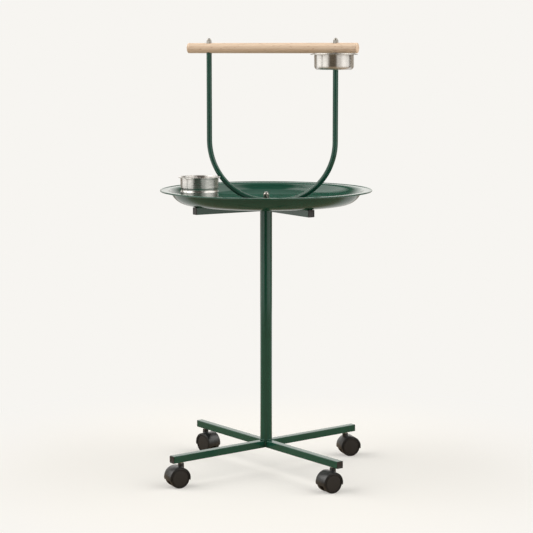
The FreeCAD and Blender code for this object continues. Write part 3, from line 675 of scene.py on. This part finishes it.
@dataclass
class Caster(Assembly):
    """Hooded caster with two wheels, trailing behind its stem."""

    corner: str
    stem: Vector
    heading: float
    trail: float = 11.0
    wheel_radius: float = 28.0
    wheel_edge: float = 2.0
    wheel_inner: float = 8.0
    wheel_outer: float = 21.5
    face_step: float = 0.8
    face_thick: float = 2.2
    face_crown: float = 0.42
    groove_depth: float = 1.8
    groove_width: float = 1.6
    groove_lean: float = 0.5
    bore: float = 3.05
    hood_inside: float = 28.8
    hood_outside: float = 31.0
    hood_width: float = 43.8
    skirt_low: float = -12.0
    skirt_far: float = 192.0
    lip_edge: float = 0.9
    lip_end: float = 0.55
    skirt_steps: int = 48
    web: float = 15.0
    web_edge: float = 0.8
    web_steps: int = 40
    neck: float = 8.5
    neck_flare: float = 1.5
    neck_edge: float = 0.9
    neck_top: float = 66.7
    neck_middle: float = 0.3
    neck_steps: int = 48
    crown_steps: int = 8
    wheel_steps: int = 72

    def build(self) -> None:
        """The hood, and the wheel on each side of it."""
        body = "caster_" + self.corner
        self.dress(self.hood(), "caster_hood_nylon", body, "caster_hood_" + self.corner)
        for side, flip in (("left", 0.0), ("right", 180.0)):
            wheel = self.wheel("wheel_%s_%s_disc" % (self.corner, side), flip)
            self.dress(wheel, "caster_wheel_nylon", "wheel_%s_%s" % (self.corner, side),
                       "caster_wheel_%s_%s" % (self.corner, side))

    def axle(self) -> Matrix:
        """Where the axle's middle is.

        Returns:
            The place, with its own Z along the axle.
        """
        stem = spot(self.stem.x, self.stem.y, 0, self.heading)
        middle = Matrix.Translation((self.trail, 0, self.wheel_radius))
        return stem @ middle @ Matrix.Rotation(-math.pi / 2, 4, "X")

    def hood(self) -> bpy.types.Object:
        """Skirt over the wheels with rounded lips, the wall between them and the neck.

        Returns:
            The hood.
        """
        shell = Shell()
        axle = self.axle()
        thick = self.hood_outside - self.hood_inside
        lip = rounded_rectangle(thick, self.hood_width, self.lip_edge, 3)
        middle = self.hood_inside + thick / 2
        steps = self.skirt_steps
        rings = []
        for i in range(steps + 1):
            angle = -math.radians(self.skirt_low + (self.skirt_far - self.skirt_low) * i / steps)
            across = Vector((math.cos(angle), math.sin(angle), 0))
            ease = self.lip_end if i in (0, steps) else 1.0
            rings.append([axle @ (across * (middle + r * ease) + Vector((0, 0, y))) for r, y in lip])
        shell.skin(rings)
        rim = [(x, -y) for x, y in arc(0, 0, 1.0, self.skirt_low, self.skirt_far, self.web_steps)]
        half, edge = self.web / 2, self.web_edge
        layers = []
        for y, less in ((-half, edge), (-half + edge, 0), (half - edge, 0), (half, edge)):
            layers.append((y, [(x * (middle - less), z * (middle - less)) for x, z in rim]))
        shell.loft(layers, axle)
        shell.skin(self.neck_rings())
        return shell.piece("hood_" + self.corner)

    def neck_rings(self) -> list[list[Vector]]:
        """Rings of the neck: over the skirt's middle, up a small flare and over a rounded top.

        Returns:
            Rings of equally many points, from below up.
        """
        stem = spot(self.stem.x, self.stem.y, 0, self.heading)
        middle = (self.hood_inside + self.hood_outside) / 2
        wide = self.neck + self.neck_flare
        around = arc(0, 0, 1.0, 0, 360, self.neck_steps)[:-1]

        def on_skirt(radius: float, skirt: float, above: float) -> list[Vector]:
            """Ring that lies on a round surface about the axle, or so far above it.

            Args:
                radius: radius of the ring, seen from above.
                skirt: radius of the surface.
                above: height above the surface.

            Returns:
                The ring's points.
            """
            ring = []
            for x, y in around:
                behind = radius * x - self.trail
                height = self.wheel_radius + math.sqrt(skirt ** 2 - behind ** 2) + above
                ring.append(stem @ Vector((radius * x, radius * y, height)))
            return ring

        rings = [on_skirt(radius, middle, 0) for radius in (self.neck_middle, self.neck / 2, wide)]
        for x, z in arc(wide, self.neck_flare, self.neck_flare, 270, 180, 5):
            rings.append(on_skirt(x, self.hood_outside, z))
        edge = self.neck_edge
        for radius, z in arc(self.neck - edge, self.neck_top - edge, edge, 0, 90, 4):
            rings.append([stem @ Vector((x * radius, y * radius, z)) for x, y in around])
        return rings

    def wheel(self, name: str, flip: float) -> bpy.types.Object:
        """Wheel with a rounded tread, and a slightly crowned face set off by a moulded groove.

        Args:
            name: the piece's name.
            flip: 0 for the left wheel, 180 for the right one.

        Returns:
            The wheel.
        """
        radius, edge = self.wheel_radius, self.wheel_edge
        inner, outer = self.wheel_inner, self.wheel_outer
        shoulder = radius - edge - self.face_step
        sink = outer - self.face_step
        section = [(self.bore, inner), (radius - edge, inner)]
        section += arc(radius - edge, inner + edge, edge, -90, 0, 6)
        section += arc(radius - edge, outer - edge, edge, 0, 90, 6)
        lean, deep = self.groove_lean, sink - self.groove_depth
        face = shoulder - self.groove_width - 2 * lean
        section += [(shoulder, outer), (shoulder - lean, deep), (shoulder - lean - self.groove_width, deep)]
        for i in range(self.crown_steps + 1):
            out = 1 - i / self.crown_steps
            section.append((face * out, sink + self.face_crown * (1 - out ** 2)))
        section += [(0.0, sink - self.face_thick), (self.bore, sink - self.face_thick)]
        axle = self.axle() @ Matrix.Rotation(math.pi + math.radians(flip), 4, "X")
        shell = Shell()
        shell.lathe(section, axle, self.wheel_steps)
        return shell.piece(name)


@dataclass
class SeedTray(Assembly):
    """Round tray spun from one sheet, with an almost level flange and a rolled edge."""

    sheet: SpunSheet = SpunSheet(rim=298.45, gauge=1.2, corner=52.0, wall_angle=66.0, wall=0.0, bend=12.0,
                                 flange=16.0, slope=-1.0, bead=2.2, hole=5.25)
    steps: int = 224

    def build(self) -> None:
        """The tray."""
        shell = Shell()
        low, _ = span("tray")
        shell.lathe(self.sheet.section(), spot(z=low.z), self.steps)
        self.dress(shell.piece("seed_tray"), "green_powder_coat", STAND, "tray")


@dataclass
class FeedCup(Assembly):
    """Loose stainless cup with a rounded bottom edge and a rolled lip."""

    node: str
    depth: float
    waist: float = 0.0
    radius: float = 53.5
    gauge: float = 0.8
    corner: float = 10.0
    lip_bend: float = 1.5
    lip: float = 2.2
    bead: float = 1.1
    steps: int = 144

    def build(self) -> None:
        """The cup, with its own origin on its axis."""
        curl = math.sqrt(self.bead ** 2 - self.gauge ** 2 / 4) + self.bead
        rim = self.radius + self.lip_bend + self.lip + curl
        wall = self.depth - self.corner - self.lip_bend
        sheet = SpunSheet(rim=rim, gauge=self.gauge, corner=self.corner, wall_angle=90.0, wall=wall,
                          bend=self.lip_bend, flange=self.lip, slope=0.0, bead=self.bead, waist=self.waist)
        low, high = span(self.node)
        place = Vector(((low.x + high.x) / 2, (low.y + high.y) / 2, low.z))
        shell = Shell()
        shell.lathe(sheet.section(), Matrix.Translation(place), self.steps)
        piece = shell.piece(self.node + "_bowl", place)
        self.dress(piece, "polished_stainless", self.node, self.node)


@dataclass
class CupHolder(Assembly):
    """Stamped ring on a stepped tab, held between the right leg and the perch."""

    leg: float
    turn: float = -74.5
    reach: float = 80.0
    hole: float = 55.4
    band: float = 8.6
    thick: float = 2.0
    tab: float = 14.0
    drop: float = 4.5
    step: float = 9.5
    run: float = 8.0
    ring_edge: float = 0.7
    tab_edge: float = 0.6
    fall_steps: int = 10
    ring_steps: int = 128

    def build(self) -> None:
        """Ring and tab with rounded edges."""
        _, high = span("cup_holder")
        place = spot(self.leg, 0, high.z, self.turn)
        shell = Shell()
        edge = rounded_rectangle(self.band, self.thick, self.ring_edge, 3)
        ring = [(self.hole + self.band / 2 + r, z - self.drop - self.thick / 2) for r, z in edge]
        shell.lathe(ring, place @ Matrix.Translation((self.reach, 0, 0)), self.ring_steps)
        end = self.reach - self.hole - self.band / 2
        half = self.tab / 2
        path = [(along, 0.0) for along, _ in arc(0, 0, half, 175, 90, 6)]
        for i in range(self.fall_steps + 1):
            share = i / self.fall_steps
            fall = (1 - math.cos(math.pi * share)) / 2
            path.append((self.step + self.run * share, -self.drop * fall))
        path.append((end, -self.drop))
        rings = []
        for along, z in path:
            width = 2 * math.sqrt(half ** 2 - min(along, 0.0) ** 2)
            strip = rounded_rectangle(width, self.thick, min(self.tab_edge, width / 3), 3)
            rings.append([place @ Vector((along, y, z - self.thick / 2 + t)) for y, t in strip])
        shell.skin(rings)
        self.dress(shell.piece("cup_ring"), "brushed_stainless", STAND, "cup_holder")


@dataclass
class Hoop(Assembly):
    """Round tube bent to a U that stands on the tray's floor."""

    radius: float = 7.5
    wall: float = 1.5
    bend: float = 169.0
    tab: float = 2.0
    steps: int = 40

    def legs(self) -> tuple[float, float]:
        """Where the middles of the left and right leg stand along X."""
        low, high = span("hoop")
        return low.x + self.radius, high.x - self.radius

    def build(self) -> None:
        """The tube, hollow to its open ends."""
        low, high = span("hoop")
        left, right = self.legs()
        centre = low.z + self.radius + self.bend
        right_top = high.z - self.tab
        path = [(left, high.z), (left, (high.z + centre) / 2)]
        path += arc(left + self.bend, centre, self.bend, 180, 270, self.steps)
        path += arc(right - self.bend, centre, self.bend, 270, 360, self.steps)
        path += [(right, (right_top + centre) / 2), (right, right_top)]
        outside = self.rings(path, self.radius)
        inside = self.rings(path, self.radius - self.wall)
        shell = Shell()
        shell.skin(outside + inside[::-1], closed=True)
        self.dress(shell.piece("hoop_tube"), "green_powder_coat", STAND, "hoop")

    def rings(self, path: Outline, radius: float) -> list[list[Vector]]:
        """Circles square to the path.

        Args:
            path: points as (x, height).
            radius: radius of the circles.

        Returns:
            One ring for each point of the path.
        """
        rings = []
        for i, (x, z) in enumerate(path):
            before, after = path[max(i - 1, 0)], path[min(i + 1, len(path) - 1)]
            ahead = Vector((after[0] - before[0], 0, after[1] - before[1])).normalized()
            across = Vector((-ahead.z, 0, ahead.x))
            ring = arc(0, 0, radius, 0, 360, self.steps)[:-1]
            rings.append([Vector((x, 0, z)) + across * u + Vector((0, v, 0)) for u, v in ring])
        return rings


@dataclass
class CapNuts(Assembly):
    """Domed nuts with chamfered hexagons, in a row along X."""

    name: str
    node: str
    seats: tuple[float, ...]
    flats: float
    hexagon: float
    height: float
    dome_inset: float = 0.5
    neck_inset: float = 0.12
    face_inset: float = 0.05
    chamfer_slope: float = 1.9
    corner_round: float = 0.985
    dome_steps: int = 12
    steps: int = 96

    def build(self) -> None:
        """All the nuts of the node."""
        shell = Shell()
        low, _ = span(self.node)
        for seat in self.seats:
            shell.loft(self.layers(), spot(x=seat, z=low.z))
        self.dress(shell.piece(self.name), "chrome_plate", STAND, self.node)

    def layers(self) -> list[tuple[float, Outline]]:
        """Outlines from the seat up: the chamfered hexagon, a neck and the dome.

        Returns:
            Pairs of a height above the seat and the outline there.
        """
        corner = self.flats / math.sqrt(3)
        dome = self.flats / 2 - self.dome_inset
        chamfer = corner - self.flats / 2
        heights = [0.0, 0.12 * chamfer, 0.35 * chamfer, 0.6 * chamfer]
        heights += [self.hexagon - h for h in heights[::-1]]
        layers = []
        for z in heights:
            edge = min(z, self.hexagon - z)
            limit = self.flats / 2 - self.face_inset + edge * self.chamfer_slope
            layers.append((z, self.hexagon_outline(limit)))
        shoulder = self.hexagon + self.face_inset
        layers.append((shoulder, self.hexagon_outline(dome - self.neck_inset)))
        for r, z in arc(0, 0, dome, 6, 84, self.dome_steps):
            layers.append((shoulder + (self.height - shoulder) * z / dome, self.hexagon_outline(r)))
        return layers

    def hexagon_outline(self, limit: float) -> Outline:
        """A hexagon with slightly rounded corners.

        Args:
            limit: largest radius, to which the corners are cut back.

        Returns:
            The outline, counter-clockwise.
        """
        outline = []
        for i in range(self.steps):
            angle = 2 * math.pi * i / self.steps
            off = (angle + math.pi / 6) % (math.pi / 3) - math.pi / 6
            flat = self.flats / 2 / math.cos(math.pi / 6 - abs(off))
            radius = min(flat, self.flats / math.sqrt(3) * self.corner_round, limit)
            outline.append((radius * math.cos(angle), radius * math.sin(angle)))
        return outline


# Studio

@dataclass(frozen=True)
class Panel:
    """A part of the studio's wall: its edges, in degrees to the right of the camera, and its brightness."""

    start: float
    end: float
    level: float


@dataclass(frozen=True)
class Studio:
    """Pale floor that runs into the backdrop, a softbox above, lit walls and the camera of the photograph."""

    backdrop: str = "#f7f5f1"
    floor_bounce: str = "#b09c83"
    shade: str = "#f3e6d4"
    softbox: float = 0.75
    softbox_tilt: float = 10.0
    behind: float = 1.4
    shadow_lift: float = 0.3
    floor_radius: float = 3000.0
    floor_thick: float = 20.0
    floor_steps: int = 96
    # Ways from the stand, in metres, over which the floor turns pale behind it and loses its shadows.
    pale_floor: tuple[float, float] = (0.3, 0.9)
    fading_floor: tuple[float, float] = (0.45, 1.2)
    # Dot products with a direction, over which one part of the studio gives way to another.
    back_edge: tuple[float, float] = (-0.7, -0.9)
    horizon: tuple[float, float] = (0.02, 0.08)
    upper_edge: tuple[float, float] = (0.25, 0.4)
    softbox_edge: tuple[float, float] = (0.87, 0.92)
    # Panels brighter than this are lit paper, and darker ones are in the shade.
    lit: float = 0.55
    walls: tuple[Panel, ...] = (
        Panel(-180, -130, 0.35), Panel(-118, -85, 1.35), Panel(-80, -75, 0.6), Panel(-68, -42, 1.35),
        Panel(-28, 9, 0.05), Panel(19, 40, 1.05), Panel(50, 66, 1.4), Panel(76, 92, 1.1),
        Panel(101, 107, 0.12), Panel(114, 180, 0.42))
    upper_walls: tuple[Panel, ...] = (
        Panel(-180, -134, 0.15), Panel(-118, -58, 3.2), Panel(-42, 34, 0.12), Panel(52, 116, 2.5),
        Panel(132, 180, 0.15))
    azimuth: float = 20.96
    distance: float = 4698.93
    height: float = 1195.75
    side: float = 1.03
    pitch: float = 7.3348
    lens: float = 112.89

    def build(self) -> None:
        """Floor, light and camera."""
        bpy.context.scene.view_settings.view_transform = "Standard"
        self.floor()
        self.light()
        self.camera()

    def camera_side(self) -> Vector:
        """The level direction from the post to the camera.

        Returns:
            A unit vector.
        """
        turn = math.radians(self.azimuth)
        return Vector((math.sin(turn), -math.cos(turn), 0))

    def camera(self) -> None:
        """The camera, at the place fitted to the photograph."""
        towards = self.camera_side()
        across = Vector((-towards.y, towards.x, 0))
        data = bpy.data.cameras.new("camera")
        data.lens = self.lens
        camera = bpy.data.objects.new("camera", data)
        camera.location = (towards * self.distance + across * self.side + Vector((0, 0, self.height))) * MM
        camera.rotation_euler = (math.radians(90 - self.pitch), 0, math.radians(self.azimuth))
        bpy.context.scene.collection.objects.link(camera)
        bpy.context.scene.camera = camera

    def floor(self) -> None:
        """A round floor that takes soft shadows near the stand and fades to the backdrop's colour."""
        shell = Shell()
        wide, low = self.floor_radius, -self.floor_thick
        shell.lathe([(0, low), (wide, low), (wide, 0), (0, 0)], spot(), self.floor_steps)
        floor = shell.piece("floor")
        material = bpy.data.materials.new("paper_floor")
        material.use_nodes = True
        tree = material.node_tree
        tree.nodes.clear()
        place = add_node(tree, "ShaderNodeTexCoord", {})
        away = add_node(tree, "ShaderNodeVectorMath", {
            0: place.outputs["Object"], 1: -self.camera_side()}, operation="DOT_PRODUCT")
        behind = add_node(tree, "ShaderNodeMapRange", {
            "Value": away.outputs["Value"], "From Min": self.pale_floor[0], "From Max": self.pale_floor[1]},
            interpolation_type="SMOOTHSTEP")
        pale = self.backdrop_rays(tree, behind.outputs[0])
        colour = add_node(tree, "ShaderNodeMix", {
            0: pale, 6: linear(self.floor_bounce), 7: linear(self.backdrop)}, data_type="RGBA")
        paper = add_node(tree, "ShaderNodeBsdfDiffuse", {"Color": colour.outputs[2]})
        far = add_node(tree, "ShaderNodeEmission", {"Color": colour.outputs[2]})
        reach = add_node(tree, "ShaderNodeVectorMath", {0: place.outputs["Object"]}, operation="LENGTH")
        fade = add_node(tree, "ShaderNodeMapRange", {
            "Value": reach.outputs["Value"], "From Min": self.fading_floor[0],
            "From Max": self.fading_floor[1], "To Min": self.shadow_lift}, interpolation_type="SMOOTHSTEP")
        surface = add_node(tree, "ShaderNodeMixShader", {
            0: fade.outputs[0], 1: paper.outputs[0], 2: far.outputs[0]})
        add_node(tree, "ShaderNodeOutputMaterial", {"Surface": surface.outputs[0]})
        floor.data.materials.append(material)

    def backdrop_rays(self, tree: bpy.types.NodeTree,
                      behind: bpy.types.NodeSocket) -> bpy.types.NodeSocket:
        """Which rays see the pale backdrop: the camera's, and those mirrored to it by metal or glass.

        Args:
            tree: the node tree of the floor or the world.
            behind: 1 where the floor or the world is behind the stand, 0 elsewhere.

        Returns:
            1 for a ray that sees the backdrop, 0 for one that sees the studio.
        """
        ray = add_node(tree, "ShaderNodeLightPath", {}).outputs
        mirrored = add_node(tree, "ShaderNodeMath", {
            0: ray["Is Glossy Ray"], 1: ray["Is Transmission Ray"]}, operation="MAXIMUM")
        mirrored = add_node(tree, "ShaderNodeMath", {
            0: mirrored.outputs[0], 1: behind}, operation="MULTIPLY")
        seen = add_node(tree, "ShaderNodeMath", {
            0: ray["Is Camera Ray"], 1: mirrored.outputs[0]}, operation="MAXIMUM")
        return seen.outputs[0]

    def light(self) -> None:
        """A studio: a softbox above and behind, lit walls around, and an unlit part behind the camera."""
        world = bpy.data.worlds.new("studio")
        bpy.context.scene.world = world
        world.use_nodes = True
        tree = world.node_tree
        tree.nodes.clear()
        towards = self.camera_side()
        tilt = math.radians(self.softbox_tilt)
        softbox_axis = Vector((0, 0, math.cos(tilt))) - towards * math.sin(tilt)
        direction = add_node(tree, "ShaderNodeTexCoord", {}).outputs["Generated"]
        dots = {}
        for name, axis in (("up", (0, 0, 1)), ("front", towards), ("right", (-towards.y, towards.x, 0)),
                           ("softbox", softbox_axis)):
            dot = add_node(tree, "ShaderNodeVectorMath", {0: direction, 1: axis}, operation="DOT_PRODUCT")
            dots[name] = dot.outputs["Value"]
        around = add_node(tree, "ShaderNodeMath", {0: dots["right"], 1: dots["front"]}, operation="ARCTAN2")
        place = add_node(tree, "ShaderNodeMapRange", {
            "Value": around.outputs[0], "From Min": -math.pi, "From Max": math.pi})
        low, high = (add_node(tree, "ShaderNodeValToRGB", {"Fac": place.outputs[0]}) for _ in range(2))
        self.paint(low.color_ramp, self.walls)
        self.paint(high.color_ramp, self.upper_walls)

        def between(name: str, edge: tuple[float, float]) -> bpy.types.NodeSocket:
            """Rises from 0 to 1 over an edge.

            Args:
                name: the direction that the dot product is with.
                edge: the dot products where it is 0 and 1.

            Returns:
                The socket that rises.
            """
            step = add_node(tree, "ShaderNodeMapRange", {
                "Value": dots[name], "From Min": edge[0], "From Max": edge[1]},
                interpolation_type="SMOOTHSTEP")
            return step.outputs[0]

        pale = Vector(linear(self.backdrop)[:3])
        back = add_node(tree, "ShaderNodeMath", {
            0: between("front", self.back_edge), 1: between("up", self.horizon)}, operation="MULTIPLY")
        room = low.outputs["Color"]
        for part, colour in ((between("up", self.upper_edge), high.outputs["Color"]),
                             (between("softbox", self.softbox_edge), (*(pale * self.softbox), 1.0))):
            mixed = add_node(tree, "ShaderNodeMix", {0: part, 6: room, 7: colour}, data_type="RGBA")
            room = mixed.outputs[2]
        ray = add_node(tree, "ShaderNodeLightPath", {})
        washed = add_node(tree, "ShaderNodeMix", {
            0: ray.outputs["Is Camera Ray"], 6: (*(pale * self.behind), 1.0), 7: linear(self.backdrop)},
            data_type="RGBA")
        seen = add_node(tree, "ShaderNodeMix", {
            0: self.backdrop_rays(tree, back.outputs[0]), 6: room, 7: washed.outputs[2]}, data_type="RGBA")
        shade = add_node(tree, "ShaderNodeBackground", {"Color": seen.outputs[2]})
        add_node(tree, "ShaderNodeOutputWorld", {"Surface": shade.outputs[0]})

    def paint(self, ramp: bpy.types.ColorRamp, panels: Sequence[Panel]) -> None:
        """Sets a colour ramp that runs once around, with the camera's direction in its middle.

        Args:
            ramp: a new ramp.
            panels: what stands around, from the left of the back to its right.
        """
        pale, shade = Vector(linear(self.backdrop)[:3]), Vector(linear(self.shade)[:3])
        ramp.elements.remove(ramp.elements[1])
        for number, panel in enumerate(panels):
            colour = (pale if panel.level > self.lit else shade) * panel.level
            for edge in (panel.start, panel.end):
                first = number == 0 and edge == panel.start
                stop = ramp.elements[0] if first else ramp.elements.new((edge + 180) / 360)
                stop.color = (*colour, 1.0)


def dress_frame() -> None:
    """Gives every node of the frame the finish of its slot."""
    for part in frame["record"]["subparts"]:
        mesh = frame["nodes"][part["node"]].data
        mesh.materials.clear()
        mesh.materials.append(FINISHES[part["material_slot"]].material)


def casters() -> list[Caster]:
    """The four casters, each where its swivel joint stands and headed as its axle lies.

    Returns:
        The casters, not yet built.
    """
    joints = {joint["name"]: joint for joint in frame["joints"]}
    found = []
    for corner in ("back_right", "back_left", "front_left", "front_right"):
        swivel = joints["caster_%s_swivel" % corner]["pos_m"]
        axle = joints["wheel_%s_left_roll" % corner]["axis"]
        heading = math.degrees(math.atan2(-axle[0], axle[1]))
        found.append(Caster(corner, Vector(swivel) / MM, heading))
    return found


def main() -> None:
    """Builds the stand's pieces in order and reports each one."""
    logging.basicConfig(level=logging.INFO, format="%(message)s")
    Studio().build()
    dress_frame()
    hoop = Hoop()
    left, right = hoop.legs()
    assemblies: list[Assembly] = [
        Cross("base", reach=329.0, turn=58.7),
        Cross("support", reach=232.0, turn=52.9),
        *casters(),
        SeedTray(),
        hoop,
        CapNuts("perch_acorn_nuts", "perch_cap_nuts", (left, right), 13.0, 8.6, 15.0),
        CapNuts("centre_acorn_nut", "centre_cap_nut", (0.0,), 16.0, 8.0, 15.5),
        FeedCup("perch_cup", depth=43.0),
        FeedCup("tray_cup", depth=72.0, waist=37.5),
        CupHolder(right),
    ]
    for assembly in assemblies:
        assembly.build()


if __name__ == "__main__":
    main()
